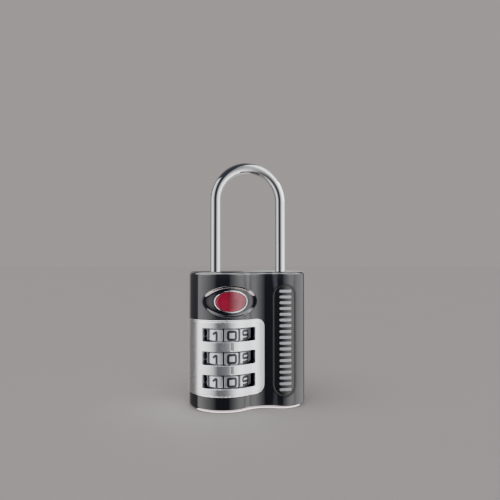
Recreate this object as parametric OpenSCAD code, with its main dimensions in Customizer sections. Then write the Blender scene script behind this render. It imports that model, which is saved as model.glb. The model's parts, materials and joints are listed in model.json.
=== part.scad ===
// Luggage combination padlock: three number dials and a keyed release, shut, showing 0-0-0.
// Millimetres, +Z up, front towards -Y. The origin is the centre of the underside.
// Modules draw with the dial axis on Z, and placed() moves them to the origin above.

/* [Body] */
// Height of the body
body_h = 33.2; // [33.2:0.1:36]
// Radius of the large barrel, on the left, which holds the dials
barrel_r = 8.8; // [8.8:0.1:9.2]
// How far the large barrel's centre lies behind the dial axis
barrel_back = 2.4; // [2.3:0.1:2.5]
// Radius of the small barrel, on the right, which holds the long leg and the key plug
column_r = 6.2; // [6.2:0.1:6.6]
// Distance from the dial axis to the small barrel's axis
axis_gap = 14; // [13.9:0.1:14.4]
// Radius of the hollow between the barrels, in front
valley_r = 7; // [6:0.5:9]
// Radius of the hollow between the barrels, behind
rear_r = 14; // [12:1:20]
// Rounding of the top and bottom edges
edge_r = 1; // [0.6:0.1:1]

/* [Shackle] */
// Diameter of the shackle's rod
rod_d = 2.6; // [2.4:0.1:2.6]
// Height of the bow's outside above the body
shackle_rise = 27.3; // [22:0.1:40]
// Distance from the dial axis to the short leg, to the left
short_leg = 2.75; // [2.5:0.05:2.9]
// Depth of the short leg in the body
toe_depth = 3.8; // [3:0.1:3.8]

/* [Dials] */
// Distance between dials, which is also how far the shackle lifts
dial_pitch = 5.5; // [5.4:0.05:5.5]
// Height of the lowest dial's middle
first_dial = 7.2; // [7.1:0.05:7.3]
// Outer diameter of a dial
dial_d = 12.4; // [12.3:0.1:12.8]
// Height of the numbered band on a dial
band_h = 2.9; // [2.5:0.1:3]
// Digits on a dial
digits = 10; // [10:1:10]

/* [Dial cover] */
// Height of the cover's lower edge
cover_low = 3.7; // [3.5:0.05:3.9]
// Height of the cover's upper edge
cover_high = 21.7; // [21.4:0.05:22]
// Distance from the dial axis to the cover's right edge
cover_right = 8.5; // [8.3:0.05:8.9]
// Height of a window in the cover
window_h = 3.24; // [3.1:0.02:3.3]
// Distance from the dial axis to a window's left end
window_left = 6.35; // [6:0.05:6.4]
// Distance from the dial axis to a window's right end
window_right = 6.15; // [6:0.05:6.4]

/* [Badge and side panel] */
// Width of the badge's recess
recess_w = 13.4; // [12.4:0.1:13.6]
// Height of the badge's recess
recess_h = 7.5; // [6.8:0.1:7.6]
// Width of the badge
badge_w = 8.2; // [7.4:0.1:8.6]
// Height of the badge
badge_h = 5.4; // [4.8:0.1:5.6]
// Height of the badge's middle above the underside
badge_z = 26.1; // [25.9:0.1:26.4]
// Width of the side panel
panel_w = 5.8; // [4.4:0.1:5.8]
// How far the side panel's middle lies left of the small barrel's axis
panel_shift = 0.7; // [0:0.1:0.9]
// Height of the side panel's lower end
panel_low = 2.8; // [2.4:0.1:4]
// Height of the side panel's upper end
panel_high = 30.2; // [28:0.1:30.6]

/* [Key plug] */
// Diameter of the key plug
plug_d = 6.5; // [6.4:0.1:6.5]
// Angle that the key turns
key_turn = 90; // [90:1:90]
// How far the catch draws back as the key turns
catch_travel = 1; // [0.9:0.05:1]
// Wafers in the key plug
wafers = 5; // [3:1:5]

/* [Hidden] */
$fn = 64;

far = 40;                       // longer than any cut has to be
eps = 0.01;                     // overlap that joins two touching shapes
dials = 3;
lift = dial_pitch;
dial_r = dial_d / 2;
dial_z = [for (i = [0 : dials - 1]) first_dial + i * dial_pitch];

// The body's plan
barrel_at = [0, barrel_back];
column_at = [axis_gap, 0];
cover_proud = 0.1;
bezel_proud = 0.15;
cover_depth = 0.7;
plan_left = barrel_r + cover_proud;
plan_right = axis_gap + column_r;
plan_front = barrel_r + bezel_proud - barrel_back;
plan_back = barrel_back + barrel_r;
axis_at = [(plan_left - plan_right) / 2, (plan_front - plan_back) / 2, 0];

// Heights in the body
base_t = 1.2;                   // bottom cover's thickness
ring_half = dial_pitch / 2 - 0.35;      // half the height of a dial with its skirts
sleeve_half = ring_half - 0.05;         // half the height of the sleeve in it
floor_z = dial_z[0] - ring_half - 0.15; // floor of the dial chamber
ceiling_z = dial_z[2] + ring_half + 0.15;
link_top = body_h - 4.4;        // top of the room that the link plate lifts in
stop_z = body_h - 3.2;          // ceiling that stops the lifted shackle's clip
shell_top = 10.4;
cam_z = 10.7;
cam_t = 1.3;
shelf_z = 13.3;                 // shelf under the shackle spring
leg_end = 16.2;                 // lower end of the long leg
catch_z = 18.2;                 // axis of the catch
clip_z = stop_z - lift - 0.6;   // underside of the long leg's clip

// Radii
chamber_r = dial_r + 0.2;
skirt_r = 5.4;                  // a dial above and below its numbered band
bore_r = 4.15;                  // a dial's bore
sleeve_r = bore_r - 0.1;
spindle_r = 1.4;
lug_r = 3.1;
leg_room_r = 2.4;
shell_r = 5;
plug_r = plug_d / 2;
rod_r = rod_d / 2;
run = 0.05;                     // running clearance

// The shackle
bow_r = (axis_gap + short_leg) / 2;
bow_x = (axis_gap - short_leg) / 2;
bow_z = body_h + shackle_rise - rod_r - bow_r;

// The cam's spiral slot: the catch's peg starts at peg_r and moves out by catch_travel
peg_r = 3;
peg_d = 0.76;

function turned(p, r, a) = p + r * [cos(a), sin(a)];

// Centre of the circle of radius r that touches both barrels from outside, in front or behind
function hollow_at(r, side) =
    let (step = column_at - barrel_at, d = norm(step), u = step / d,
         a = ((barrel_r + r) ^ 2 - (column_r + r) ^ 2 + d ^ 2) / (2 * d),
         h = sqrt((barrel_r + r) ^ 2 - a ^ 2))
    barrel_at + a * u + side * h * [u.y, -u.x];

valley_at = hollow_at(valley_r, 1);
rear_at = hollow_at(rear_r, -1);

module placed() {
    translate(axis_at) children();
}

module ring(outer, inner, h) {
    difference() {
        cylinder(r = outer, h = h);
        translate([0, 0, -1]) cylinder(r = inner, h = h + 2);
    }
}

module along_y() {
    rotate([90, 0, 0]) children();
}

// Helical wire of the given mean radius, standing on z = 0
module coil(r, wire, turns, h, steps = 16, sides = 6) {
    n = round(turns * steps);
    points = [for (k = [0 : n]) for (i = [0 : sides - 1])
        let (a = 360 * k / steps, b = 360 * i / sides, c = r + wire / 2 * cos(b))
        [c * cos(a), c * sin(a), wire / 2 + (h - wire) * k / n + wire / 2 * sin(b)]];
    walls = [for (k = [0 : n - 1]) for (i = [0 : sides - 1])
        let (j = (i + 1) % sides)
        [k * sides + i, (k + 1) * sides + i, (k + 1) * sides + j, k * sides + j]];
    ends = [[for (i = [0 : sides - 1]) i], [for (i = [sides - 1 : -1 : 0]) n * sides + i]];
    polyhedron(points, concat(walls, ends));
}

// ---- the body's outside ----

// Plan of the body, grown by o
module plan(o = 0) {
    translate(barrel_at) circle(barrel_r + o);
    translate(column_at) circle(column_r + o);
    difference() {
        polygon([barrel_at, valley_at, column_at, rear_at]);
        translate(valley_at) circle(valley_r - o);
        translate(rear_at) circle(rear_r - o);
    }
}

module slab(o, z0, z1) {
    translate([0, 0, z0]) linear_extrude(z1 - z0) plan(o);
}

// The body's skin between two distances from its surface
module skin(inner, outer) {
    difference() {
        slab(outer, 0, body_h);
        slab(inner, -1, body_h + 1);
    }
}

// Half section of a barrel with rounded edges
module barrel_section(r) {
    square([r - edge_r, body_h]);
    translate([0, edge_r]) square([r, body_h - 2 * edge_r]);
    for (z = [edge_r, body_h - edge_r]) translate([r - edge_r, z]) circle(edge_r);
}

// Half section of what a hollow takes away, flared to round the hollow's edges
module hollow_section(r) {
    difference() {
        translate([0, -1]) square([r + edge_r, body_h + 2]);
        translate([r, edge_r]) square([edge_r + 1, body_h - 2 * edge_r]);
        for (z = [edge_r, body_h - edge_r]) translate([r + edge_r, z]) circle(edge_r);
    }
}

module body_solid() {
    translate(barrel_at) rotate_extrude() barrel_section(barrel_r);
    translate(column_at) rotate_extrude() barrel_section(column_r);
    difference() {
        linear_extrude(body_h) polygon([barrel_at, valley_at, column_at, rear_at]);
        translate(valley_at) rotate_extrude() hollow_section(valley_r);
        translate(rear_at) rotate_extrude() hollow_section(rear_r);
    }
}

// ---- outlines seen from the front, as prisms that run through the front wall ----

module oval_prism(w, h) {
    translate([0, 0, badge_z]) along_y() linear_extrude(far)
        polygon([for (a = [0 : 6 : 354]) [w / 2 * cos(a), h / 2 * sin(a)]]);
}

module panel_prism(grow) {
    r = panel_w / 2 + grow;
    low = panel_low - grow + r;
    high = panel_high + grow - r;
    translate([axis_gap - panel_shift, 0, 0]) along_y() linear_extrude(far) {
        for (z = [low, high]) translate([0, z]) circle(r);
        translate([-r, low]) square([2 * r, high - low]);
    }
}

// A plate's outline: its right-hand corners have the given radii, and it runs on to the left
module tab(left, right, low, high, low_r, high_r) {
    translate([right - low_r, low + low_r]) circle(low_r);
    translate([right - high_r, high - high_r]) circle(high_r);
    translate([left, low]) square([right - low_r - left, high - low]);
    translate([left, low + low_r]) square([right - left, high - low - low_r - high_r]);
}

// The space that the dial cover takes, from the right edge round to its end behind the left side
module cover_zone(grow) {
    back_edge = 6.5;
    low = cover_low - grow;
    high = cover_high + grow;
    along_y() linear_extrude(far) tab(0, cover_right + grow, low, high, 2.3, 1.7);
    translate([-far, 0, 0]) rotate([90, 0, 90]) linear_extrude(far + eps)
        tab(-far, back_edge + grow, low, high, 1, 1);
}

// ---- the housing and what is fixed to it ----

screw_at = [[-5.4, 3], [4, 6.4], [6.9, -1.5]];
rim = 1.15;                     // the bottom cover's pocket lies this far inside the plan

module dial_chamber() {
    translate([0, 0, floor_z]) linear_extrude(ceiling_z - floor_z) {
        circle(chamber_r);
        translate([-chamber_r, -far]) square([2 * chamber_r, far]);
    }
}

// Room in which the spindle's top, the link plate and the catch lift
module link_room() {
    translate([0, 0, ceiling_z - 1]) cylinder(r = 3.5, h = link_top - ceiling_z + 1);
    translate([0, -2, shell_top]) cube([limb_x + 1.2, 4, link_top - shell_top]);
    translate([0, -1.3, shell_top]) cube([axis_gap - 1.45, 2.6, link_top - shell_top]);
}

module column_bores() {
    translate(column_at) {
        translate([0, 0, base_t - eps]) cylinder(r = shell_r + 0.04, h = shelf_z - 0.7 - base_t);
        translate([0, 0, shelf_z]) cylinder(r = leg_room_r, h = stop_z - shelf_z);
        translate([0, 0, stop_z - 1]) cylinder(r = rod_r + 0.08, h = far);
    }
}

detent_turn = 180 / digits;     // the detent spring bears between two digits

module detent_room() {
    rotate(detent_turn) translate([-3.4, 5, floor_z])
        cube([6.8, dial_r - 3.55, ceiling_z - floor_z]);
}

module housing() {
    color("#1b1b1e") placed() difference() {
        body_solid();
        slab(-rim, -1, base_t);
        dial_chamber();
        link_room();
        detent_room();
        column_bores();
        translate([0, 0, base_t - eps]) cylinder(r = sleeve_r + run, h = floor_z);
        translate([-short_leg, 0, body_h - toe_depth - 0.2]) cylinder(r = rod_r + 0.1, h = far);
        for (p = screw_at) translate(p) translate([0, 0, 0.5]) cylinder(r = 0.8, h = 3.2);
        intersection() {
            skin(-cover_depth - 0.04, 1);
            cover_zone(0.06);
        }
        intersection() {
            skin(-0.7, 1);
            oval_prism(recess_w, recess_h);
        }
        intersection() {
            skin(-0.6, 1);
            panel_prism(0.06);
        }
    }
}

module dial_cover() {
    color("#cfd0d2") placed() difference() {
        intersection() {
            skin(-cover_depth, cover_proud);
            cover_zone(0);
        }
        for (z = dial_z) translate([-window_left, -far, z - window_h / 2])
            cube([window_left + window_right, far - 1, window_h]);
        for (z = [dial_z[0], dial_z[1]])
            translate([-0.25, -barrel_r + barrel_back - cover_proud - 1, z + window_h / 2 - eps])
                cube([0.5, 1.25, dial_pitch - window_h + 2 * eps]);
    }
}

module badge_bezel() {
    color("#d8d8da") placed() difference() {
        intersection() {
            skin(-0.7, bezel_proud);
            oval_prism(badge_w, badge_h);
        }
        intersection() {
            skin(-0.1, 1);
            oval_prism(badge_w - 0.9, badge_h - 0.9);
        }
    }
}

module badge_enamel() {
    color("#9c1f3c") placed() intersection() {
        skin(-0.1, 0.1);
        oval_prism(badge_w - 0.98, badge_h - 0.98);
    }
}

module side_panel() {
    color("#26262a") placed() intersection() {
        skin(-0.58, 0.04);
        panel_prism(0);
    }
}

module bottom_cover() {
    color("#1f1f22") placed() {
        difference() {
            slab(-rim - 0.05, 0, base_t);
            translate(column_at) translate([0, 0, -1]) cylinder(r = plug_r + 0.08, h = base_t + 2);
            translate([0, 0, base_t / 2]) cylinder(r = spindle_r + 0.06, h = base_t);
            for (p = screw_at) translate(p) {
                translate([0, 0, -1]) cylinder(r = 0.85, h = base_t + 2);
                translate([0, 0, -1]) cylinder(r = 1.35, h = 1.8);
            }
        }
        translate([0, 0, base_t - eps]) ring(2.1, spindle_r + 0.06, 1.2);
    }
}

module bottom_cover_screws() {
    color("#a9a9ad") placed() for (p = screw_at) translate(p) difference() {
        union() {
            translate([0, 0, 0.2]) cylinder(r = 1.25, h = 0.6);
            translate([0, 0, 0.7]) cylinder(r = 0.75, h = 2.8);
        }
        for (a = [0, 90]) rotate(a) translate([-0.8, -0.15, 0]) cube([1.6, 0.3, 0.5]);
    }
}

module key_cylinder_shell() {
    color("#b59a55") placed() translate(column_at) translate([0, 0, base_t + run])
        ring(shell_r, plug_r + run, shell_top - base_t - run);
}

// Leaf comb behind the dials: one strip, and a finger for each dial with a ridge between two digits
module detent_spring() {
    leaf = 0.25;
    arm = [[-3.1, 0.95], [-1.5, 0.35], [-0.45, 0.25], [0, -0.2], [0.45, 0.25], [1.5, 0.35], [3, 0.85]];
    color("#c9c9c4") placed() rotate(detent_turn) {
        translate([-3.1, dial_r + 0.95, floor_z + 0.2]) cube([1.1, leaf, ceiling_z - floor_z - 0.4]);
        for (z = dial_z) translate([0, dial_r, z - 1]) linear_extrude(2)
            polygon(concat(arm, [for (i = [len(arm) - 1 : -1 : 0]) arm[i] + [0, leaf]]));
    }
}

module dial_spacers() {
    color("#9d9da1") placed() for (i = [0, 1]) intersection() {
        translate([0, 0, dial_z[i] + ring_half + 0.1]) ring(dial_r + 0.1, 3.6, 0.5);
        slab(-cover_depth - 0.1, 0, body_h);
    }
}

module clutch_spring() {
    color("#bdbdb8") placed() translate([0, 0, base_t + run])
        coil(3.6, 0.4, 3, dial_z[0] - sleeve_half - base_t - 2 * run, 24, 8);
}

module shackle_spring() {
    color("#bdbdb8") placed() translate(column_at) translate([0, 0, shelf_z + 0.02])
        coil(1.05, 0.28, 6, leg_end - shelf_z - 0.04, 20, 8);
}

// ---- the shackle ----

module leg(z0, end_r) {
    translate([0, 0, z0]) cylinder(r1 = end_r, r2 = rod_r, h = 0.4);
    translate([0, 0, z0 + 0.4]) cylinder(r = rod_r, h = bow_z - z0 - 0.4);
}

module shackle() {
    color("#d4d6d8") placed() {
        translate([bow_x, 0, bow_z]) along_y() rotate_extrude(angle = 180)
            translate([bow_r, 0]) circle(rod_r);
        translate([-short_leg, 0, 0]) leg(body_h - toe_depth, rod_r - 0.4);
        translate(column_at) difference() {
            leg(leg_end, rod_r - 0.3);
            translate([0, 0, catch_z - 0.8]) ring(far, 0.85, 1.6);
            translate([0, 0, clip_z - run]) ring(far, 0.95, 0.6);
        }
    }
}

module shackle_clip() {
    color("#8d8d90") placed() translate(column_at) translate([0, 0, clip_z]) difference() {
        ring(2.1, 1, 0.5);
        translate([0, -0.85, -1]) cube([3, 1.7, 3]);
    }
}

// ---- the carrier: spindle and link plate lift with the shackle ----

arm_z = ceiling_z + 0.35;
arm_t = 0.9;
limb_x = axis_gap - 4.9;        // the limb that hangs from the arm, beside the long leg

module spindle() {
    color("#b7b7b3") placed() {
        translate([0, 0, 1.9]) cylinder(r1 = spindle_r - 0.3, r2 = spindle_r, h = 0.4);
        translate([0, 0, 2.3]) cylinder(r = spindle_r, h = arm_z - 2.3);
        translate([0, 0, arm_z - eps]) cylinder(r = 0.9, h = arm_t + 2 * eps);
        translate([0, 0, arm_z + arm_t]) cylinder(r1 = 1.5, r2 = 1.1, h = 0.4);
        for (z = dial_z) intersection() {
            translate([0, 0, z - 0.75]) cylinder(r = lug_r, h = 1.5);
            translate([-0.65, 0, z - 1]) cube([1.3, far, 2]);
        }
    }
}

module link_plate() {
    color("#a3a5a8") placed() difference() {
        union() {
            translate([0, 0, arm_z]) cylinder(r = 1.9, h = arm_t);
            translate([0, -1.8, arm_z]) cube([limb_x + 1, 3.6, arm_t]);
            translate([limb_x, -1.8, catch_z - 1.3]) cube([1, 3.6, arm_z + arm_t - catch_z + 1.3]);
        }
        translate([0, 0, arm_z - 1]) cylinder(r = 0.92, h = arm_t + 2);
        translate([limb_x - 1, 0, catch_z]) rotate([0, 90, 0]) cylinder(r = 0.75, h = 3);
    }
}

// ---- one dial: the numbered ring and the clutch sleeve that it turns ----

// The flank between two digits has a V groove, and the bore has a notch for the sleeve's teeth
module dial_ring(i) {
    color("#c4c6c9") placed() translate([0, 0, dial_z[i]]) difference() {
        union() {
            translate([0, 0, -ring_half]) cylinder(r = skirt_r, h = 2 * ring_half);
            translate([0, 0, -band_h / 2]) cylinder(r = dial_r, h = band_h);
        }
        translate([0, 0, -far / 2]) cylinder(r = bore_r, h = far);
        for (k = [0 : digits - 1]) rotate(360 * k / digits) {
            translate([dial_r + 0.1, 0, -3]) cylinder(r = 0.4, h = 6, $fn = 4);
            translate([bore_r - 1, -0.45, -3]) cube([1.6, 0.9, 6]);
        }
    }
}

// A sleeve's upper end is a gate: the spindle's lug passes it only where the slot is
module clutch(i) {
    gate = 1.4;
    color("#b08d4a") placed() translate([0, 0, dial_z[i] - sleeve_half]) difference() {
        union() {
            cylinder(r = sleeve_r, h = 2 * sleeve_half);
            for (k = [0 : 4]) rotate(72 * k)
                translate([sleeve_r - 0.5, -0.38, 0.6]) cube([1.08, 0.76, 3.6]);
        }
        translate([0, 0, -1]) cylinder(r = spindle_r + 0.06, h = far);
        translate([0, 0, -1]) cylinder(r = lug_r + 0.2, h = 2 * sleeve_half - gate + 1);
        translate([-0.75, 0, 0]) cube([1.5, lug_r + 0.15, far]);
    }
}

// ---- the key plug and its cam ----

wafer_z = [for (i = [0 : wafers - 1]) 2.2 + 1.5 * i];
tail = 2.2;                     // square tail that turns the cam

module key_plug() {
    color("#b8923f") placed() translate(column_at) difference() {
        union() {
            translate([0, 0, 0.35]) cylinder(r = plug_r, h = shell_top - 0.25);
            translate([-tail / 2, -tail / 2, shell_top]) cube([tail, tail, cam_z + cam_t - shell_top]);
        }
        translate([-0.6, -2.2, -1]) cube([1.2, 4.4, 10.4]);
        for (z = wafer_z) {
            translate([-1.6, -far / 2, z - 0.3]) cube([3.2, far, 0.6]);
            translate([1.5, -1.7, z - 0.45]) cube([1, 2.5, 0.9]);
        }
        translate([0, 0, 9.6]) cylinder(r = 0.55, h = 5);
    }
}

module key_wafers() {
    color("#caa75a") placed() translate(column_at) for (z = wafer_z) {
        translate([0, 0, z - 0.25]) difference() {
            union() {
                intersection() {
                    cylinder(r = plug_r - run, h = 0.5);
                    translate([-1.55, -far / 2, 0]) cube([3.1, far, 0.5]);
                }
                translate([1.5, 0.15, 0]) cube([0.9, 0.55, 0.5]);
            }
            translate([-0.65, -1.5, -1]) cube([1.3, 3, 3]);
        }
    }
}

module wafer_springs() {
    color("#bdbdb8") placed() translate(column_at) for (z = wafer_z)
        translate([2.02, 0.13, z]) along_y() coil(0.28, 0.13, 4, 1.8, 10, 5);
}

// The slot winds inward to outward, so that each degree of turn moves the peg by the same amount
module plug_cam() {
    steps = 24;
    half = peg_d / 2 + 0.07;
    turns = [for (k = [0 : steps]) k / steps];
    function track(t, side) = turned([0, 0], peg_r + catch_travel * t + side * half, 180 - key_turn * t);
    color("#9a9a9e") placed() translate(column_at) translate([0, 0, cam_z]) difference() {
        cylinder(r = shell_r - 0.05, h = cam_t);
        translate([-tail / 2 - run, -tail / 2 - run, -1]) cube([tail + 2 * run, tail + 2 * run, 4]);
        translate([0, 0, cam_t - 0.9]) linear_extrude(far) {
            polygon([for (t = turns) track(t, -1), for (k = [steps : -1 : 0]) track(turns[k], 1)]);
            for (t = [0, 1]) translate(track(t, 0)) circle(half);
        }
    }
}

module cam_screw() {
    color("#a9a9ad") placed() translate(column_at) difference() {
        union() {
            translate([0, 0, cam_z + cam_t + 0.01]) cylinder(r = 1.35, h = 0.5);
            translate([0, 0, 9.8]) cylinder(r = 0.5, h = 2.4);
        }
        translate([-2, -0.15, cam_z + cam_t + 0.3]) cube([4, 0.3, 1]);
    }
}

// ---- the catch: a pin in the long leg's groove, drawn back by the cam ----

catch_tip = axis_gap - 0.9;
collar_x = catch_tip - 1.3;

module catch() {
    foot_z = cam_z + cam_t + 0.3;
    peg_x = axis_gap - peg_r;
    color("#9a9a9e") placed() {
        translate([catch_tip - 4.5, 0, catch_z]) rotate([0, 90, 0]) cylinder(r = 0.7, h = 4.5);
        translate([collar_x, 0, catch_z]) rotate([0, 90, 0]) cylinder(r = 1.1, h = 0.6);
        translate([collar_x, -0.7, foot_z]) cube([0.6, 1.4, catch_z - foot_z]);
        translate([peg_x - 0.5, -0.7, foot_z]) cube([collar_x + 0.6 - peg_x + 0.5, 1.4, 0.8]);
        translate([peg_x, 0, foot_z - 1]) cylinder(r = peg_d / 2, h = 1.1);
    }
}

module catch_spring() {
    start = limb_x + 1.01;
    color("#bdbdb8") placed() translate([start, 0, catch_z]) rotate([0, 90, 0])
        coil(0.9, 0.18, 3, collar_x - start - 0.01, 16, 6);
}

housing();
dial_cover();
badge_bezel();
badge_enamel();
side_panel();
bottom_cover();
bottom_cover_screws();
key_cylinder_shell();
detent_spring();
dial_spacers();
clutch_spring();
shackle_spring();
shackle();
shackle_clip();
spindle();
link_plate();
dial_ring(2);  // dial_ring_top
dial_ring(1);  // dial_ring_middle
dial_ring(0);  // dial_ring_bottom
clutch(2);  // clutch_top
clutch(1);  // clutch_middle
clutch(0);  // clutch_bottom
key_plug();
key_wafers();
wafer_springs();
plug_cam();
cam_screw();
catch();
catch_spring();
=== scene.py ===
"""Luggage combination padlock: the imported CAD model, with its visible parts drawn in detail.

Metres, +Z up, the dials' windows face -Y. Axes and heights come from the frame's boxes and record.
The plan of the front and the fine profiles, given in millimetres, follow the sizes of the CAD part.
"""
import json
import math

import bmesh
import bpy
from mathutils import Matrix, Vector
from mathutils.geometry import delaunay_2d_cdt


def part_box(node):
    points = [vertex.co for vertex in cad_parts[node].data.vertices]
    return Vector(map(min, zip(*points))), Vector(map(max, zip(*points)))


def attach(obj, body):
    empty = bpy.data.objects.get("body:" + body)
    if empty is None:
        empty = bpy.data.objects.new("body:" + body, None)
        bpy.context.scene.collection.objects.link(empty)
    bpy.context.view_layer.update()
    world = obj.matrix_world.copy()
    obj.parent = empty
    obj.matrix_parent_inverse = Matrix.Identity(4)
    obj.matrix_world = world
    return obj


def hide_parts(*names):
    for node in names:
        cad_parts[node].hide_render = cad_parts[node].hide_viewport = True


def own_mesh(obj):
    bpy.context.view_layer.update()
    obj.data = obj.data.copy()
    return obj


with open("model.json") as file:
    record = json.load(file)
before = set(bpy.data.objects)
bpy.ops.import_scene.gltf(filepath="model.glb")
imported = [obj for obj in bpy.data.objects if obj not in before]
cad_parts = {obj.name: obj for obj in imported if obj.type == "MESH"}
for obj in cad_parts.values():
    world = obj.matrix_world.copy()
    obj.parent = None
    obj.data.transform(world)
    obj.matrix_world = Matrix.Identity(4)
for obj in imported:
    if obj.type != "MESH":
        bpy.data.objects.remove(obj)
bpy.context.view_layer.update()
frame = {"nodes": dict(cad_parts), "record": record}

MM = 0.001
CAMERA_PLACE = (-0.03204, -0.12616, 0.03515)
CAMERA_TILT = math.radians(91.52)
CAMERA_TURN = math.radians(-14.7)
# The room: what the camera sees of it, and its light from behind the lock and from the camera's side
HORIZON = (0.38, 0.353, 0.343)
BEHIND = (0.222, 0.2, 0.194)
IN_FRONT = (0.045, 0.05, 0.062)
FLOOR_TONES = (0.615, 0.578, 0.566), (0.635, 0.597, 0.585)


# ---- what the frame says ----

def span(node, axis):
    """A node's lowest and highest place along an axis."""
    low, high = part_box(node)
    return low[axis], high[axis]


JOINTS = {j["name"]: j for j in frame["record"]["behaviour"]["joints"]}
DIALS = ("bottom", "middle", "top")
DIAL_X, DIAL_Y = JOINTS["dial_top_turn"]["pos_m"][:2]
DIAL_Z = {d: JOINTS["dial_%s_turn" % d]["pos_m"][2] for d in DIALS}
DIAL_R = (span("dial_ring_top", 0)[1] - span("dial_ring_top", 0)[0]) / 2


# ---- materials ----

class Nodes:
    """A material's node tree, with short calls for the nodes that the materials share."""

    def __init__(self, name, **sockets):
        self.material = bpy.data.materials.new(name)
        self.material.use_nodes = True
        self.tree = self.material.node_tree
        self.shader = self.tree.nodes["Principled BSDF"]
        for socket, value in sockets.items():
            self.shader.inputs[socket.replace("_", " ")].default_value = value

    def new(self, kind, **values):
        n = self.tree.nodes.new("ShaderNode" + kind)
        for k, v in values.items():
            if k in n.inputs:
                n.inputs[k].default_value = v
            else:
                setattr(n, k, v)
        return n

    def link(self, out, into):
        self.tree.links.new(out, into)

    def place(self, scale):
        """Object coordinates, in millimetres, stretched by scale."""
        coord = self.new("TexCoord")
        mapping = self.new("Mapping")
        mapping.inputs["Scale"].default_value = [1000 * s for s in scale]
        self.link(coord.outputs["Object"], mapping.inputs["Vector"])
        return mapping.outputs["Vector"]

    def noise(self, scale, detail=4.0, rough=0.55, stretch=(1, 1, 1)):
        n = self.new("TexNoise", Scale=scale, Detail=detail, Roughness=rough)
        self.link(self.place(stretch), n.inputs["Vector"])
        return n.outputs["Fac"]

    def scaled(self, value, low, high, start=0.3, end=0.7):
        """value from start to end becomes low to high."""
        n = self.new("MapRange")
        n.inputs["From Min"].default_value = start
        n.inputs["From Max"].default_value = end
        n.inputs["To Min"].default_value = low
        n.inputs["To Max"].default_value = high
        self.link(value, n.inputs["Value"])
        return n.outputs["Result"]

    def mix(self, fac, a, b):
        """a where fac is 0 and b where it is 1. Each is a colour or another node's output."""
        n = self.new("Mix", data_type="RGBA")
        for socket, v in ((n.inputs[6], a), (n.inputs[7], b)):
            if isinstance(v, tuple):
                socket.default_value = v
            else:
                self.link(v, socket)
        self.link(fac, n.inputs[0])
        return n.outputs[2]

    def bump(self, height, strength, depth):
        n = self.new("Bump", Strength=strength, Distance=depth)
        self.link(height, n.inputs["Height"])
        self.link(n.outputs["Normal"], self.shader.inputs["Normal"])

    def within(self, low, high):
        """1 inside the box from low to high, in metres, 0 elsewhere."""
        split = self.new("SeparateXYZ")
        self.link(self.new("TexCoord").outputs["Object"], split.inputs[0])
        total = None
        for axis in range(3):
            n = self.new("Math", operation="COMPARE")
            self.link(split.outputs[axis], n.inputs[0])
            n.inputs[1].default_value = (low[axis] + high[axis]) / 2
            n.inputs[2].default_value = (high[axis] - low[axis]) / 2
            if total is None:
                total = n.outputs[0]
                continue
            both = self.new("Math", operation="MULTIPLY")
            self.link(total, both.inputs[0])
            self.link(n.outputs[0], both.inputs[1])
            total = both.outputs[0]
        return total

    def edges(self, low, high):
        """1 on worn outer edges, 0 elsewhere."""
        geometry = self.new("NewGeometry")
        return self.scaled(geometry.outputs["Pointiness"], 0.0, 1.0, low, high)


def metal(name, dark, light, rough, grain=(1, 1, 1), grain_scale=2.0, bump=0.0, speck=0.8, **sockets):
    """Metal whose tint and roughness wander a little, with a drawn or cast grain."""
    m = Nodes(name, **{"Metallic": 1.0, **sockets})
    wander = m.noise(0.25, 3)
    fine = m.noise(grain_scale, 6, 0.6, grain)
    m.link(m.mix(wander, dark + (1,), light + (1,)), m.shader.inputs["Base Color"])
    both = m.new("Math", operation="MULTIPLY_ADD")
    m.link(fine, both.inputs[0])
    both.inputs[1].default_value = speck
    m.link(wander, both.inputs[2])
    m.link(m.scaled(both.outputs[0], rough[0], rough[1], 0.5, 1.3), m.shader.inputs["Roughness"])
    if bump:
        m.bump(fine, bump, 0.02 * MM)
    return m.material


def lacquer(name, colour, worn, rough, coat, peel, bare=None):
    """Paint on a casting: a slight orange peel under a clear coat, thinner on the edges.

    The paint stops inside the box bare, where the cast metal shows.
    """
    m = Nodes(name, Coat_Weight=coat, Coat_Roughness=0.03, IOR=1.5)
    peel_noise = m.noise(0.7, 2, 0.4)
    dust = m.noise(6.0, 5, 0.7)
    paint_colour = m.mix(m.edges(0.54, 0.66), colour + (1,), worn + (1,))
    if bare:
        inside = m.within(*bare)
        dull, bright = (0.3, 0.3, 0.32, 1), (0.46, 0.46, 0.48, 1)
        cast = m.mix(dust, dull, bright)
        m.link(m.mix(inside, paint_colour, cast), m.shader.inputs["Base Color"])
        m.link(inside, m.shader.inputs["Metallic"])
        roughness = m.new("Math", operation="MULTIPLY_ADD")
        m.link(inside, roughness.inputs[0])
        roughness.inputs[1].default_value = 0.4
        m.link(m.scaled(dust, rough[0], rough[1]), roughness.inputs[2])
        m.link(roughness.outputs[0], m.shader.inputs["Roughness"])
    else:
        m.link(paint_colour, m.shader.inputs["Base Color"])
        m.link(m.scaled(dust, rough[0], rough[1]), m.shader.inputs["Roughness"])
    m.bump(peel_noise, peel, 0.02 * MM)
    return m.material


def enamel():
    """Clouded red under a thin clear coat, with paler flecks."""
    m = Nodes("red_enamel", Coat_Weight=0.35, Coat_Roughness=0.12, IOR=1.45)
    deep, red, fleck_red = (0.19, 0.002, 0.018, 1), (0.36, 0.008, 0.045, 1), (0.6, 0.06, 0.12, 1)
    cloud = m.noise(0.45, 4, 0.6)
    fleck = m.noise(9.0, 3, 0.5)
    base = m.mix(m.scaled(cloud, 0.0, 1.0, 0.35, 0.65), deep, red)
    flecked = m.mix(m.scaled(fleck, 0.0, 0.35, 0.55, 0.75), base, fleck_red)
    m.link(flecked, m.shader.inputs["Base Color"])
    m.link(m.scaled(cloud, 0.16, 0.26), m.shader.inputs["Roughness"])
    m.bump(cloud, 0.15, 0.03 * MM)
    return m.material


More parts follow.
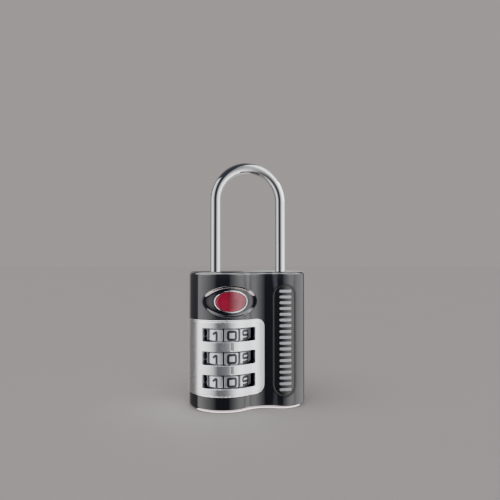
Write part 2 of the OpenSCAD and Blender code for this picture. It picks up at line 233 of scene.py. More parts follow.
def paint(name, colour, rough):
    """Filled numerals and printed marks, and dark strokes that paint the shade in grooves."""
    m = Nodes(name, IOR=1.48)
    fine = m.noise(8.0, 5, 0.6)
    pale = tuple(min(1, c * 1.6 + 0.004) for c in colour)
    m.link(m.mix(m.scaled(fine, 0.0, 1.0), colour + (1,), pale + (1,)), m.shader.inputs["Base Color"])
    m.link(m.scaled(fine, rough - 0.06, rough + 0.08), m.shader.inputs["Roughness"])
    m.bump(fine, 0.1, 0.01 * MM)
    return m.material


# The room round the dials, which the windows show: the housing's metal is bare there
ROOM_SIDE, ROOM_FRONT, ROOM_BACK, ROOM_END = 6.45 * MM, 8 * MM, 6.6 * MM, 2.6 * MM
DIAL_ROOM = ((DIAL_X - ROOM_SIDE, DIAL_Y - ROOM_FRONT, DIAL_Z["bottom"] - ROOM_END),
             (DIAL_X + ROOM_SIDE, DIAL_Y + ROOM_BACK, DIAL_Z["top"] + ROOM_END))
MATERIALS = {
    "black_lacquer": lacquer("black_lacquer", colour=(0.005, 0.0055, 0.008), worn=(0.03, 0.03, 0.034),
                             rough=(0.05, 0.1), coat=0.1, peel=0.12, bare=DIAL_ROOM),
    "black_panel": lacquer("black_panel", colour=(0.008, 0.008, 0.01), worn=(0.05, 0.05, 0.053),
                           rough=(0.2, 0.3), coat=0.0, peel=0.2),
    "satin_cover": metal("satin_cover", dark=(0.56, 0.57, 0.59), light=(0.66, 0.67, 0.69),
                         rough=(0.27, 0.3), grain=(1, 1, 0.02), grain_scale=12.0, speck=0.05),
    "bright_chrome": metal("bright_chrome", dark=(0.72, 0.735, 0.76), light=(0.8, 0.81, 0.83),
                           rough=(0.05, 0.09), speck=0.4),
    "dial_chrome": metal("dial_chrome", dark=(0.56, 0.57, 0.6), light=(0.66, 0.67, 0.69),
                         rough=(0.34, 0.44), grain=(0.3, 0.3, 3), grain_scale=3.0, bump=0.04, Metallic=0.8),
    "zinc_steel": metal("zinc_steel", dark=(0.42, 0.43, 0.46), light=(0.55, 0.56, 0.57),
                        rough=(0.3, 0.45), grain_scale=3.0, bump=0.2),
    "spring_steel": metal("spring_steel", dark=(0.48, 0.48, 0.47), light=(0.58, 0.58, 0.56),
                          rough=(0.2, 0.32), grain_scale=4.0, bump=0.1),
    "brass": metal("brass", dark=(0.62, 0.42, 0.17), light=(0.75, 0.55, 0.27),
                   rough=(0.22, 0.34), grain=(0.2, 0.2, 4), grain_scale=3.0, bump=0.15),
    "red_enamel": enamel(),
}
# Black for the numerals, also used for the dark lines that paint the shade in the index and digit grooves
INK_AND_SHADE = paint("numeral_black", (0.006, 0.007, 0.011), 0.35)
PRINT = paint("ornament_grey", (0.3, 0.31, 0.33), 0.4)


def dress_cad():
    """Gives each CAD node the material that its slot in the record names."""
    slots = {s["node"]: s["material_slot"] for s in frame["record"]["subparts"]}
    for name, obj in frame["nodes"].items():
        for s in obj.material_slots:
            s.material = MATERIALS[slots[name]]


# ---- meshes ----

def finish_mesh(name, bm, material, body, replaces=(), sharp=28):
    """Makes bm an object that rides on body. Edges that turn by more than sharp degrees stay sharp."""
    bmesh.ops.remove_doubles(bm, verts=bm.verts, dist=1e-4 * MM)
    bmesh.ops.recalc_face_normals(bm, faces=bm.faces)
    for f in bm.faces:
        f.smooth = True
    for e in bm.edges:
        e.smooth = not e.is_manifold or e.calc_face_angle(0) < math.radians(sharp)
    mesh = bpy.data.meshes.new(name)
    bm.to_mesh(mesh)
    bm.free()
    if "skin" in mesh.attributes:
        even_gloss(mesh)
    obj = bpy.data.objects.new(name, mesh)
    bpy.context.collection.objects.link(obj)
    mesh.materials.append(material)
    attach(obj, body)
    if replaces:
        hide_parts(*replaces)
    return obj


def even_gloss(mesh):
    """Gives the faces that bend() found parallel to the skin the skin's own normals."""
    skin = [Vector(a.vector) for a in mesh.attributes["skin"].data]
    parallel = [a.value for a in mesh.attributes["parallel"].data]
    normals = [Vector(n.vector) for n in mesh.corner_normals]
    for face in mesh.polygons:
        for k in face.loop_indices:
            true = skin[mesh.loops[k].vertex_index]
            if parallel[face.index] and face.normal.dot(true) > 0.99:
                normals[k] = true
    for layer in ("skin", "parallel"):
        mesh.attributes.remove(mesh.attributes[layer])
    mesh.normals_split_custom_set(normals)


def skin_loops(bm, rows, wrap=False):
    """Quads between closed rows of the same number of vertices, and from the last to the first if wrap."""
    n = len(rows[0])
    for a, b in zip(rows, rows[1:] + rows[:1] if wrap else rows[1:]):
        for k in range(n):
            bm.faces.new((a[k], a[(k + 1) % n], b[(k + 1) % n], b[k]))


def tube(bm, rings):
    """A closed skin over rings, with a flat face at each end."""
    skin_loops(bm, rings)
    bm.faces.new(rings[0])
    bm.faces.new(rings[-1][::-1])


def loop(bm, points, depth):
    """A closed row of vertices in the flat space that bend() takes: x, height above the skin, z."""
    return [bm.verts.new((x, depth, z)) for x, z in points]


def oval(w, h, n):
    turns = [2 * math.pi * k / n for k in range(n)]
    return [(w / 2 * math.cos(a), h / 2 * math.sin(a)) for a in turns]


def outline(box, radii, inset=0.0, arc=8, step=0.6 * MM):
    """A rectangle with rounded corners: the same number of points at any inset."""
    x0, x1, z0, z1 = box
    sides = [max(1, round(d / step)) for d in (x1 - x0, z1 - z0)] * 2
    x0, z0, x1, z1 = x0 + inset, z0 + inset, x1 - inset, z1 - inset
    points = []
    for k, (x, z) in enumerate(((x0, z0), (x1, z0), (x1, z1), (x0, z1))):
        r = max(radii[k] - inset, 0.01 * MM)
        cx, cz = x + (r if k in (0, 3) else -r), z + (r if k < 2 else -r)
        for i in range(arc + 1):
            a = math.radians(180 + 90 * k + 90 * i / arc)
            points.append((cx + r * math.cos(a), cz + r * math.sin(a)))
    out = []
    for k in range(4):
        corner = points[k * (arc + 1):(k + 1) * (arc + 1)]
        a, b = Vector(corner[-1]), Vector(points[(k + 1) * (arc + 1) % len(points)])
        out += corner + [tuple(a.lerp(b, i / sides[k])) for i in range(1, sides[k])]
    return out


def section_rows(bm, box, radii, section, **shape):
    """A row of the outline for each inset and height, in millimetres, that section lists."""
    return [loop(bm, outline(box, radii, inset * MM, **shape), depth * MM) for inset, depth in section]


def fill(bm, rows):
    """Flat face between an outer row and the rows of its holes."""
    verts = [v for row in rows for v in row]
    points = [Vector((v.co.x, v.co.z)) / MM for v in verts]
    edges, start = [], 0
    for row in rows:
        edges += [(start + k, start + (k + 1) % len(row)) for k in range(len(row))]
        start += len(row)

    def inside(p):
        crossings = 0
        for i, j in edges:
            a, b = points[i], points[j]
            if (a.y > p.y) != (b.y > p.y) and p.x < a.x + (b.x - a.x) * (p.y - a.y) / (b.y - a.y):
                crossings += 1
        return crossings % 2

    found = delaunay_2d_cdt(points, edges, [], 0, 1e-6)
    for face in found[2]:
        if inside(sum((found[0][k] for k in face), Vector((0, 0))) / 3):
            bm.faces.new([verts[found[3][k][0]] for k in face])


def closed_solid(bm, rows):
    """A closed skin over rows of the flat space, with both ends filled."""
    skin_loops(bm, rows)
    fill(bm, [rows[0]])
    fill(bm, [rows[-1]])


def bend(bm, place, step):
    """Cuts the flat shape into upright strips and puts each point where place says."""
    xs = [v.co.x for v in bm.verts]
    low, high = min(xs), max(xs)
    for k in range(1, math.ceil((high - low) / step)):
        bmesh.ops.bisect_plane(bm, geom=bm.verts[:] + bm.edges[:] + bm.faces[:], dist=1e-6 * MM,
                               plane_co=(low + k * step, 0, 0), plane_no=(1, 0, 0))
    parallel = bm.faces.layers.int.new("parallel")
    skin = bm.verts.layers.float_vector.new("skin")
    for f in bm.faces:
        depths = [v.co.y for v in f.verts]
        f[parallel] = max(depths) - min(depths) < 1e-4 * MM
    for v in bm.verts:
        x, out, z = v.co
        v.co = place(x, out, z)
        v[skin] = (Vector(place(x, out + MM, z)) - v.co).normalized()


# ---- the body's outside: the plan of part.scad, from its two barrels and the hollow between ----

BARREL_R, COLUMN_R, VALLEY_R = 8.8 * MM, 6.2 * MM, 7 * MM
BARREL = Vector((0, 2.4 * MM))
COLUMN = Vector((14 * MM, 0))


def touching(a, ra, b, rb):
    """Centre of the circle in front that touches both barrels."""
    step = b - a
    u = step.normalized()
    reach = (ra ** 2 - rb ** 2 + step.length ** 2) / (2 * step.length)
    return a + u * reach + Vector((u.y, -u.x)) * math.sqrt(ra ** 2 - reach ** 2)


VALLEY = touching(BARREL, BARREL_R + VALLEY_R, COLUMN, COLUMN_R + VALLEY_R)
TO_VALLEY = math.atan2(*(VALLEY - BARREL).yx)
FROM_COLUMN = math.atan2(*(COLUMN - VALLEY).yx)
VALLEY_START = BARREL_R * (TO_VALLEY + math.pi / 2)
VALLEY_END = VALLEY_START + VALLEY_R * (TO_VALLEY + math.pi - FROM_COLUMN)


def along(x):
    """Distance along the front of the body, from the line through the dial axis to x right of it."""
    if x < BARREL_R * math.cos(TO_VALLEY):
        return BARREL_R * math.asin(max(-1, x / BARREL_R))
    if x < COLUMN.x - COLUMN_R * math.cos(FROM_COLUMN):
        return VALLEY_START + VALLEY_R * (TO_VALLEY + math.pi - math.acos((x - VALLEY.x) / VALLEY_R))
    return VALLEY_END + COLUMN_R * (-math.acos((x - COLUMN.x) / COLUMN_R) - FROM_COLUMN + math.pi)


def on_body(s, out, z):
    """The point s along the front, out from the skin, at height z."""
    if s < VALLEY_START:
        centre, r, a = BARREL, BARREL_R + out, s / BARREL_R - math.pi / 2
    elif s < VALLEY_END:
        centre, r, a = VALLEY, VALLEY_R - out, TO_VALLEY + math.pi - (s - VALLEY_START) / VALLEY_R
    else:
        centre, r, a = COLUMN, COLUMN_R + out, FROM_COLUMN - math.pi + (s - VALLEY_END) / COLUMN_R
    return (DIAL_X + centre.x + r * math.cos(a), DIAL_Y + centre.y + r * math.sin(a), z)


def on_front(x, out, z):
    """The same, from x, measured to the right of the dial axis."""
    return on_body(along(x), out, z)


# A section lists inset from a piece's edge and height above the body's skin, in millimetres
PLATE_PROUD = 0.1 * MM
PLATE_BACK, PLATE_RIGHT = 6.5 * MM, 8.5 * MM
PLATE_CORNERS = [r * MM for r in (1, 2.3, 1.7, 1)]
PLATE_SECTION = ((0, -0.7), (0, -0.02), (0.02, 0.04), (0.07, 0.085), (0.15, 0.1), (0.27, 0.1), (0.33, 0.065),
                 (0.4, 0.065), (0.47, 0.1))
WINDOW_LEFT, WINDOW_RIGHT, WINDOW_HALF_H, WINDOW_CORNER = -6.5 * MM, 6.15 * MM, 1.62 * MM, 0.25 * MM
WINDOW_SECTION = ((-0.12, 0.1), (-0.05, 0.08), (-0.01, 0.03), (0, -0.04), (0, -0.7))
INDEX_LEFT, INDEX_RIGHT, INDEX_GAP, INDEX_CORNER = -0.24 * MM, 0.36 * MM, 0.21 * MM, 0.08 * MM
INDEX_SECTION = ((-0.06, 0.1), (-0.01, 0.07), (0, 0.02), (0.03, -0.12))
# The painted shade lines' left and right ends, in millimetres from the groove's left side: dark ink that
# stands for the shade on the groove's walls
INDEX_SHADE_LINES = ((0.02, 0.26), (0.41, 0.59))
LINE_CORNER, LINE_SECTION = 0.03 * MM, ((0.02, -0.3), (0.02, -0.06))


def add_cover():
    """Plate wrapped round the large barrel: rolled edges, three windows and two index grooves."""
    low, high = span("dial_cover", 2)
    back = -BARREL_R * (math.pi / 2 + math.asin((PLATE_BACK - BARREL.y) / (BARREL_R + PLATE_PROUD)))
    bm = bmesh.new()
    rows = section_rows(bm, (back, along(PLATE_RIGHT), low, high), PLATE_CORNERS, PLATE_SECTION)
    skin_loops(bm, rows)
    under, over = [rows[0]], [rows[-1]]
    for dial in DIALS:
        z = DIAL_Z[dial]
        window = (along(WINDOW_LEFT), along(WINDOW_RIGHT), z - WINDOW_HALF_H, z + WINDOW_HALF_H)
        rows = section_rows(bm, window, [WINDOW_CORNER] * 4, WINDOW_SECTION)
        skin_loops(bm, rows)
        over.append(rows[0])
        under.append(rows[-1])
    grooves = []
    for a, b in (("bottom", "middle"), ("middle", "top")):
        groove = (INDEX_LEFT, INDEX_RIGHT,
                  DIAL_Z[a] + WINDOW_HALF_H + INDEX_GAP, DIAL_Z[b] - WINDOW_HALF_H - INDEX_GAP)
        rows = section_rows(bm, groove, [INDEX_CORNER] * 4, INDEX_SECTION)
        skin_loops(bm, rows)
        over.append(rows[0])
        fill(bm, [rows[-1]])
        grooves.append(groove)
    fill(bm, over)
    fill(bm, under)
    bend(bm, on_body, 0.4 * MM)
    finish_mesh("dial_cover_plate", bm, MATERIALS["satin_cover"], "housing", ("dial_cover",),
                sharp=8)
    add_index_lines(grooves)


def add_index_lines(grooves):
    """Two dark lines at the bottom of each index groove: painted shade of the groove's walls."""
    bm = bmesh.new()
    for groove in grooves:
        for x0, x1 in INDEX_SHADE_LINES:
            line = (groove[0] + x0 * MM, groove[0] + x1 * MM) + groove[2:]
            closed_solid(bm, section_rows(bm, line, [LINE_CORNER] * 4, LINE_SECTION, arc=2))
    bend(bm, on_body, 0.4 * MM)
    finish_mesh("index_lines", bm, INK_AND_SHADE, "housing")


# In millimetres. The rim's section goes inwards from the badge's edge. The scoop's goes from the recess's
# edge, at 0, to the badge's, at 1. The enamel is narrower and lower than the badge by DOME_LESS.
BADGE_W, BADGE_H = 8.2, 5.4
RECESS_W, RECESS_H = 13.4, 7.5
RIM_SECTION = ((0, -0.68), (0, -0.02), (0.04, 0.07), (0.11, 0.13), (0.2, 0.15), (0.27, 0.12), (0.31, 0.05),
               (0.33, -0.62))
SCOOP_SECTION = ((-0.03, -0.3), (-0.02, 0.0), (-0.005, 0.025), (0.02, 0.025), (0.05, 0.0), (0.1, -0.07),
                 (0.18, -0.22), (0.28, -0.38), (0.42, -0.48), (0.6, -0.52), (0.9, -0.52), (1.1, -0.52),
                 (1.1, -0.67), (0.02, -0.67))
DOME_LESS, DOME_BOTTOM, DOME_EDGE, DOME_RISE, DOME_ROWS = 0.68, -0.5, -0.06, 0.17, 12


def add_badge():
    """A plain domed oval of enamel in a rolled silver rim, and the scoop that it sits in."""
    z = (span("badge_bezel", 2)[0] + span("badge_bezel", 2)[1]) / 2

    def oval_row(bm, w, h, depth, n=72):
        return loop(bm, [(x, z + rise) for x, rise in oval(w, h, n)], depth * MM)

    w, h = BADGE_W * MM, BADGE_H * MM
    bm = bmesh.new()
    skin_loops(bm, [oval_row(bm, w - 2 * i * MM, h - 2 * i * MM, d) for i, d in RIM_SECTION], wrap=True)
    bend(bm, on_front, 0.5 * MM)
    finish_mesh("badge_rim", bm, MATERIALS["bright_chrome"], "housing", ("badge_bezel",))

    dome_w, dome_h = w - DOME_LESS * MM, h - DOME_LESS * MM
    bm = bmesh.new()
    rows = [oval_row(bm, dome_w, dome_h, DOME_BOTTOM)]
    for k in range(DOME_ROWS):
        t = 1 - k / DOME_ROWS
        rows.append(oval_row(bm, dome_w * t, dome_h * t, DOME_EDGE + DOME_RISE * math.sqrt(1 - t ** 4)))
    closed_solid(bm, rows)
    bend(bm, on_front, 0.5 * MM)
    finish_mesh("badge_dome", bm, MATERIALS["red_enamel"], "housing", ("badge_enamel",))

    bm = bmesh.new()
    rows = []
    for t, d in SCOOP_SECTION:
        across, up = [(1 - t) * a + t * b for a, b in ((RECESS_W, BADGE_W), (RECESS_H, BADGE_H))]
        rows.append(oval_row(bm, across * MM, up * MM, d, 96))
    skin_loops(bm, rows, wrap=True)
    bend(bm, on_front, 0.5 * MM)
    finish_mesh("badge_scoop", bm, MATERIALS["black_lacquer"], "housing")


PANEL_HALF_W, PANEL_LEFT_OF_COLUMN = 2.9 * MM, 0.7 * MM
PANEL_SECTION = [(0, -0.56), (0, -0.06), (0.04, 0.01), (0.12, 0.04), (0.22, 0.04), (0.3, 0.0), (0.36, -0.08),
                 (0.46, -0.12)]
PANEL_SECTION += [(0.46 + 0.3 * k, -0.12) for k in range(1, 9)]
BARS, BAR_PITCH, BAR_HALF_W, BAR_HALF_H = 18, 1.4 * MM, 1.5 * MM, 0.33 * MM
BARS_SHIFT = 0.15 * MM
BAR_SECTION = ((0, -0.16), (0, -0.08), (0.04, -0.05), (0.1, -0.04))


def add_side_panel():
    """Satin insert with a raised bead along its outline, and a row of plain bars as its ornament."""
    x = COLUMN.x - PANEL_LEFT_OF_COLUMN
    low, high = span("side_panel", 2)
    box = (x - PANEL_HALF_W, x + PANEL_HALF_W, low, high)
    bm = bmesh.new()
    closed_solid(bm, section_rows(bm, box, [PANEL_HALF_W] * 4, PANEL_SECTION, arc=14, step=1.2 * MM))
    bend(bm, on_front, 0.35 * MM)
    finish_mesh("side_panel_insert", bm, MATERIALS["black_panel"], "housing", ("side_panel",))

    bm = bmesh.new()
    x += BARS_SHIFT
    for k in range(BARS):
        z = (low + high) / 2 + (k - (BARS - 1) / 2) * BAR_PITCH
        bar = (x - BAR_HALF_W, x + BAR_HALF_W, z - BAR_HALF_H, z + BAR_HALF_H)
        closed_solid(bm, section_rows(bm, bar, [BAR_HALF_H] * 4, BAR_SECTION, arc=6))
    bend(bm, on_front, 0.35 * MM)
    finish_mesh("side_panel_bars", bm, PRINT, "housing")


# ---- shackle ----

# Radii in millimetres: the whole rod, its two grooves, and the face and lip of each chamfered end
ROD, CLIP_GROOVE, CATCH_GROOVE = 1.3, 0.95, 0.85
TOE_FACE, TOE_LIP, LEG_FACE, LEG_LIP = 0.78, 0.9, 0.9, 1.02
CHAMFER, CHAMFER_LIP = 0.4 * MM, 0.05 * MM
TOE_DEPTH, SHORT_LEG = 3.8 * MM, 2.75 * MM
CLIP_Z, CLIP_H = 23.85 * MM, 0.6 * MM
CATCH_Z, CATCH_H = 17.4 * MM, 1.6 * MM
LEG_ROWS, BOW_ROWS, ROD_SIDES = 12, 64, 64


def add_shackle():
    """The rod: short leg, half-round bow and long leg, whose end has the catch's and the clip's grooves."""
    short, long_leg = DIAL_X - SHORT_LEG, JOINTS["key_turn"]["pos_m"][0]
    bottom, top = span("shackle", 2)
    bow_r = (long_leg - short) / 2
    bow_z = top - ROD * MM - bow_r
    toe = span("housing", 2)[1] - TOE_DEPTH
    rows = [(short, toe, 0, TOE_FACE), (short, toe + CHAMFER_LIP, 0, TOE_LIP), (short, toe + CHAMFER, 0, ROD)]
    up = bow_z - toe - CHAMFER
    rows += [(short, toe + CHAMFER + up * k / LEG_ROWS, 0, ROD) for k in range(1, LEG_ROWS)]
    for k in range(BOW_ROWS + 1):
        a = math.pi * (1 - k / BOW_ROWS)
        x, z = (short + long_leg) / 2 + bow_r * math.cos(a), bow_z + bow_r * math.sin(a)
        rows.append((x, z, math.pi * k / BOW_ROWS, ROD))
    down = [(bow_z - (bow_z - CLIP_Z - CLIP_H) * k / LEG_ROWS, ROD) for k in range(1, LEG_ROWS)]
    for z, height, groove in ((CLIP_Z, CLIP_H, CLIP_GROOVE), (CATCH_Z, CATCH_H, CATCH_GROOVE)):
        down += [(z + height, ROD), (z + height, groove), (z, groove), (z, ROD)]
    down += [(bottom + CHAMFER, ROD), (bottom + CHAMFER_LIP, LEG_LIP), (bottom, LEG_FACE)]
    rows += [(long_leg, z, math.pi, size) for z, size in down]
    bm = bmesh.new()
    rings = []
    for x, z, turn, size in rows:
        ring = []
        for k in range(ROD_SIDES):
            a = 2 * math.pi * k / ROD_SIDES
            out, y = size * MM * math.cos(a), DIAL_Y + size * MM * math.sin(a)
            ring.append(bm.verts.new((x - out * math.cos(turn), y, z + out * math.sin(turn))))
        rings.append(ring)
    tube(bm, rings)
    finish_mesh("shackle_rod", bm, MATERIALS["bright_chrome"], "shackle", ("shackle",),
                sharp=35)


def add_catch_spring():
    """The coil behind the catch, which in the lock shortens as the key draws the catch back; this mesh keeps
    one length.
    """
    (x0, y0, z0), (x1, y1, z1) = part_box("catch_spring")
    y, z = (y0 + y1) / 2, (z0 + z1) / 2
    wire, turns, steps, sides = 0.18 * MM, 3, 24, 8
    bm = bmesh.new()
    rings = []
    for k in range(turns * steps + 1):
        a = 2 * math.pi * k / steps
        x = x0 + wire / 2 + (x1 - x0 - wire) * k / (turns * steps)
        ring = []
        for i in range(sides):
            b = 2 * math.pi * i / sides
            r = (z1 - z0 - wire) / 2 + wire / 2 * math.cos(b)
            point = (x + wire / 2 * math.sin(b), y + r * math.sin(a), z - r * math.cos(a))
            ring.append(bm.verts.new(point))
        rings.append(ring)
    tube(bm, rings)
    steel = MATERIALS["spring_steel"]
    coil = finish_mesh("catch_coil", bm, steel, "carrier", ("catch_spring",))
    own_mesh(coil)


# ---- dials ----

# Half of the groove between two digits, in millimetres: distance round the band from its middle, and depth
GROOVE = ((0.0, 0.42), (0.12, 0.34), (0.26, 0.03), (0.3, 0.0), (0.36, 0.0), (0.4, 0.09), (0.46, 0.09),
          (0.5, 0.0))
DIGIT_TURN = 36
BORE_R, SKIRT_R = 4.15 * MM, 5.4 * MM
RING_HALF_H, BAND_HALF_H = 2.4 * MM, 1.45 * MM
NOTCH_DEPTH, NOTCH_HALF_TURN = 0.6 * MM, 5


def dial_angles():
    """Angles round a dial, each with the depth of the groove there, in millimetres."""
    side = [(w * MM / DIAL_R, d) for w, d in GROOVE]
    angles = []
    for k in range(10):
        mid = math.radians(DIGIT_TURN * k)
        angles += [(mid - a, d) for a, d in side[:0:-1]] + [(mid + a, d) for a, d in side]
        first, last = mid + side[-1][0], mid + math.radians(DIGIT_TURN) - side[-1][0]
        angles += [(first + (last - first) * i / 10, 0.0) for i in range(1, 10)]
    return angles


def add_dial(dial):
    """A number ring: rounded band, skirts, and a V groove with a fine line each side between the digits."""
    profile = [(BORE_R, -RING_HALF_H), (SKIRT_R - 0.1 * MM, -RING_HALF_H), (SKIRT_R, -RING_HALF_H + 0.1 * MM),
               (SKIRT_R, -BAND_HALF_H), (DIAL_R - 0.4 * MM, -BAND_HALF_H),
               (DIAL_R - 0.3 * MM, -BAND_HALF_H + 0.03 * MM), (DIAL_R - 0.06 * MM, -BAND_HALF_H + 0.17 * MM),
               (DIAL_R, -BAND_HALF_H + 0.26 * MM), (DIAL_R, 0)]
    profile += [(r, -z) for r, z in profile[-2::-1]]
    groove_floor = SKIRT_R + 0.2 * MM
    bm = bmesh.new()
    columns = []
    for a, depth in dial_angles():
        from_notch = abs((math.degrees(a) + DIGIT_TURN / 2) % DIGIT_TURN - DIGIT_TURN / 2)
        column = []
        for r, z in profile:
            if r > groove_floor:
                r = max(r - depth * MM, groove_floor)
            elif r == BORE_R and from_notch < NOTCH_HALF_TURN:
                r += NOTCH_DEPTH
            point = (DIAL_X + r * math.cos(a), DIAL_Y + r * math.sin(a), DIAL_Z[dial] + z)
            column.append(bm.verts.new(point))
        columns.append(column)
    skin_loops(bm, columns, wrap=True)
    finish_mesh("number_ring_" + dial, bm, MATERIALS["dial_chrome"], "dial_" + dial,
                ("dial_ring_" + dial,))


# ---- numerals ----

def rounded_path(points, radius, closed=False, steps=5):
    """The path through points, its corners rounded."""
    pts = [Vector(p) for p in points]
    n = len(pts)
    out = []
    for i, p in enumerate(pts):
        if not closed and i in (0, n - 1):
            out.append(p)
            continue
        a, b = pts[i - 1] - p, pts[(i + 1) % n] - p
        r = min(radius, a.length / 2, b.length / 2)
        start, end = p + a.normalized() * r, p + b.normalized() * r
        for k in range(steps + 1):
            t = k / steps
            out.append(start.lerp(p, t).lerp(p.lerp(end, t), t))
    return out


# Half-width 1 and half-height 1; a path whose last point is its first is closed
DIGIT_PATHS = {
    0: [[(-1, -1), (1, -1), (1, 1), (-1, 1), (-1, -1)]],
    1: [[(-0.7, 0.4), (0.15, 1), (0.15, -1)]],
    2: [[(-1, 0.5), (-1, 1), (1, 1), (1, 0.1), (-1, -0.3), (-1, -1), (1, -1)]],
    3: [[(-1, 1), (1, 1), (1, -1), (-1, -1)], [(-0.3, 0.05), (1, 0.05)]],
    4: [[(-0.5, 1), (-1, -0.35), (1, -0.35)], [(0.45, 0.35), (0.45, -1)]],
    5: [[(0.9, 1), (-0.9, 1), (-0.95, 0.1), (1, 0.1), (1, -1), (-1, -1)]],
    6: [[(0.8, 1), (-1, 1), (-1, -1), (1, -1), (1, 0.1), (-1, 0.1)]],
    7: [[(-1, 1), (1, 1), (-0.2, -1)]],
    8: [[(-1, -1), (1, -1), (1, 1), (-1, 1), (-1, -1)], [(-1, 0.05), (1, 0.05)]],
    9: [[(1, -0.1), (-1, -0.1), (-1, 1), (1, 1), (1, -1), (-0.8, -1)]],
}


def stroke(bm, path, width, low, high, closed):
    """A band of ink along path, in the flat space that bend() takes. The same band also paints the shade in
    the grooves between digits.
    """
    n = len(path)
    rows = []
    if not closed:
        path = list(path)
        for end, inner in ((0, 1), (-1, -2)):
            path[end] = path[end] + (path[end] - path[inner]).normalized() * width / 2
    for i, p in enumerate(path):
        before = path[i - 1] if (closed or i) else p
        after = path[(i + 1) % n] if (closed or i < n - 1) else p
        along_path = (after - before).normalized()
        side = Vector((-along_path.y, along_path.x)) * width / 2
        edge = [(p + side * k, d) for k, d in ((-1, low), (-1, high), (1, high), (1, low))]
        rows.append([bm.verts.new((q.x, d, q.y)) for q, d in edge])
    if closed:
        skin_loops(bm, rows, wrap=True)
    else:
        tube(bm, rows)


DIGIT_HALF_W, DIGIT_HALF_H = 0.94 * MM, 0.92 * MM
DIGIT_RIGHT, DIGIT_DOWN = 0.12 * MM, 0.1 * MM
STROKE_W, CORNER_R, INK_BELOW, INK_ABOVE = 0.6 * MM, 0.35 * MM, -0.08 * MM, 0.012 * MM
# The dark strokes sunk in the V grooves between digits: painted shade of the grooves
GROOVE_SHADE_HALF_H, GROOVE_SHADE_W, GROOVE_SHADE_LOW, GROOVE_SHADE_HIGH = 1.4 * MM, 0.3 * MM, -0.3 * MM, -0.03 * MM


def round_dial(dial, middle):
    """A place function for bend(): wraps the flat space round the dial's band, about the angle middle."""
    def place(x, out, z):
        a, r = middle + x / DIAL_R, DIAL_R + out
        return (DIAL_X + r * math.cos(a), DIAL_Y + r * math.sin(a), DIAL_Z[dial] + z)
    return place


def numerals(dial):
    """The ten digits, as filled engraving a hair proud of the band, and dark strokes in the grooves between
    them, which are painted shade of the grooves.
    """
    whole = bmesh.new()
    groove_shade_x = math.pi / 10 * DIAL_R
    groove_shade = [Vector((groove_shade_x, -GROOVE_SHADE_HALF_H)), Vector((groove_shade_x, GROOVE_SHADE_HALF_H))]
    for digit, paths in DIGIT_PATHS.items():
        bm = bmesh.new()
        for path in paths:
            points = [(x * DIGIT_HALF_W + DIGIT_RIGHT, z * DIGIT_HALF_H - DIGIT_DOWN) for x, z in path]
            closed = points[0] == points[-1]
            line = rounded_path(points[:-1] if closed else points, CORNER_R, closed)
            stroke(bm, line, STROKE_W, INK_BELOW, INK_ABOVE, closed)
        # Painted shade in the groove beside the digit
        stroke(bm, groove_shade, GROOVE_SHADE_W, GROOVE_SHADE_LOW, GROOVE_SHADE_HIGH, False)
        bend(bm, round_dial(dial, math.radians(270 - DIGIT_TURN * digit)), 0.15 * MM)
        part = bpy.data.meshes.new("digit")
        bm.to_mesh(part)
        bm.free()
        whole.from_mesh(part)
        bpy.data.meshes.remove(part)
    finish_mesh("dial_numerals_" + dial, whole, INK_AND_SHADE, "dial_" + dial)


# ---- room, lights and camera ----

def add_floor():
    """A wide pale disc just under the lock, which the gloss doesn't show."""
    bm = bmesh.new()
    bmesh.ops.create_circle(bm, cap_ends=True, radius=6, segments=96)
    bmesh.ops.translate(bm, verts=bm.verts, vec=(0, 0, -0.02 * MM))
    mesh = bpy.data.meshes.new("floor")
    bm.to_mesh(mesh)
    bm.free()
    floor = bpy.data.objects.new("floor", mesh)
    bpy.context.collection.objects.link(floor)
    m = Nodes("floor_paper", Roughness=0.75)
    dark, light = [tone + (1,) for tone in FLOOR_TONES]
    m.link(m.mix(m.noise(0.02, 3), dark, light), m.shader.inputs["Base Color"])
    mesh.materials.append(m.material)
    floor.visible_glossy = False
    return floor


def add_world():
    """Plain grey for the camera. As light it is dark towards the camera and overhead, and paler behind."""
    world = bpy.data.worlds.new("studio")
    world.use_nodes = True
    tree = world.node_tree

    def new(kind, **values):
        n = tree.nodes.new("ShaderNode" + kind)
        for k, v in values.items():
            setattr(n, k, v)
        return n

    coord, towards = new("TexCoord"), new("VectorMath", operation="DOT_PRODUCT")
    dark_side = Vector((math.sin(CAMERA_TURN), -math.cos(CAMERA_TURN), 0.8))
    towards.inputs[1].default_value = dark_side.normalized()
    ramp = new("ValToRGB")
    stops = ramp.color_ramp.elements
    stops[0].position, stops[0].color = 0.0, BEHIND + (1,)
    stops[1].position, stops[1].color = 0.75, IN_FRONT + (1,)
    pick, rays = new("Mix", data_type="RGBA"), new("LightPath")
    pick.inputs[7].default_value = HORIZON + (1,)
    tree.links.new(coord.outputs["Generated"], towards.inputs[0])
    tree.links.new(towards.outputs["Value"], ramp.inputs["Fac"])
    tree.links.new(ramp.outputs["Color"], pick.inputs[6])
    tree.links.new(rays.outputs["Is Camera Ray"], pick.inputs[0])
    tree.links.new(pick.outputs[2], tree.nodes["Background"].inputs["Color"])
    bpy.context.scene.world = world


def group(name, objects):
    """A collection of objects for a light to fall on."""
    collection = bpy.data.collections.new(name)
    for obj in objects:
        collection.objects.link(obj)
    return collection


def add_sun(floor):
    """Broad overhead light, for an even floor and a soft shadow."""
    sun = bpy.data.lights.new("overhead", "SUN")
    sun.energy = 1.6
    sun.angle = math.radians(70)
    obj = bpy.data.objects.new("overhead", sun)
    obj.rotation_euler = (math.radians(18), math.radians(-12), 0)
    bpy.context.collection.objects.link(obj)
    obj.light_linking.receiver_collection = group("floor_only", [floor])


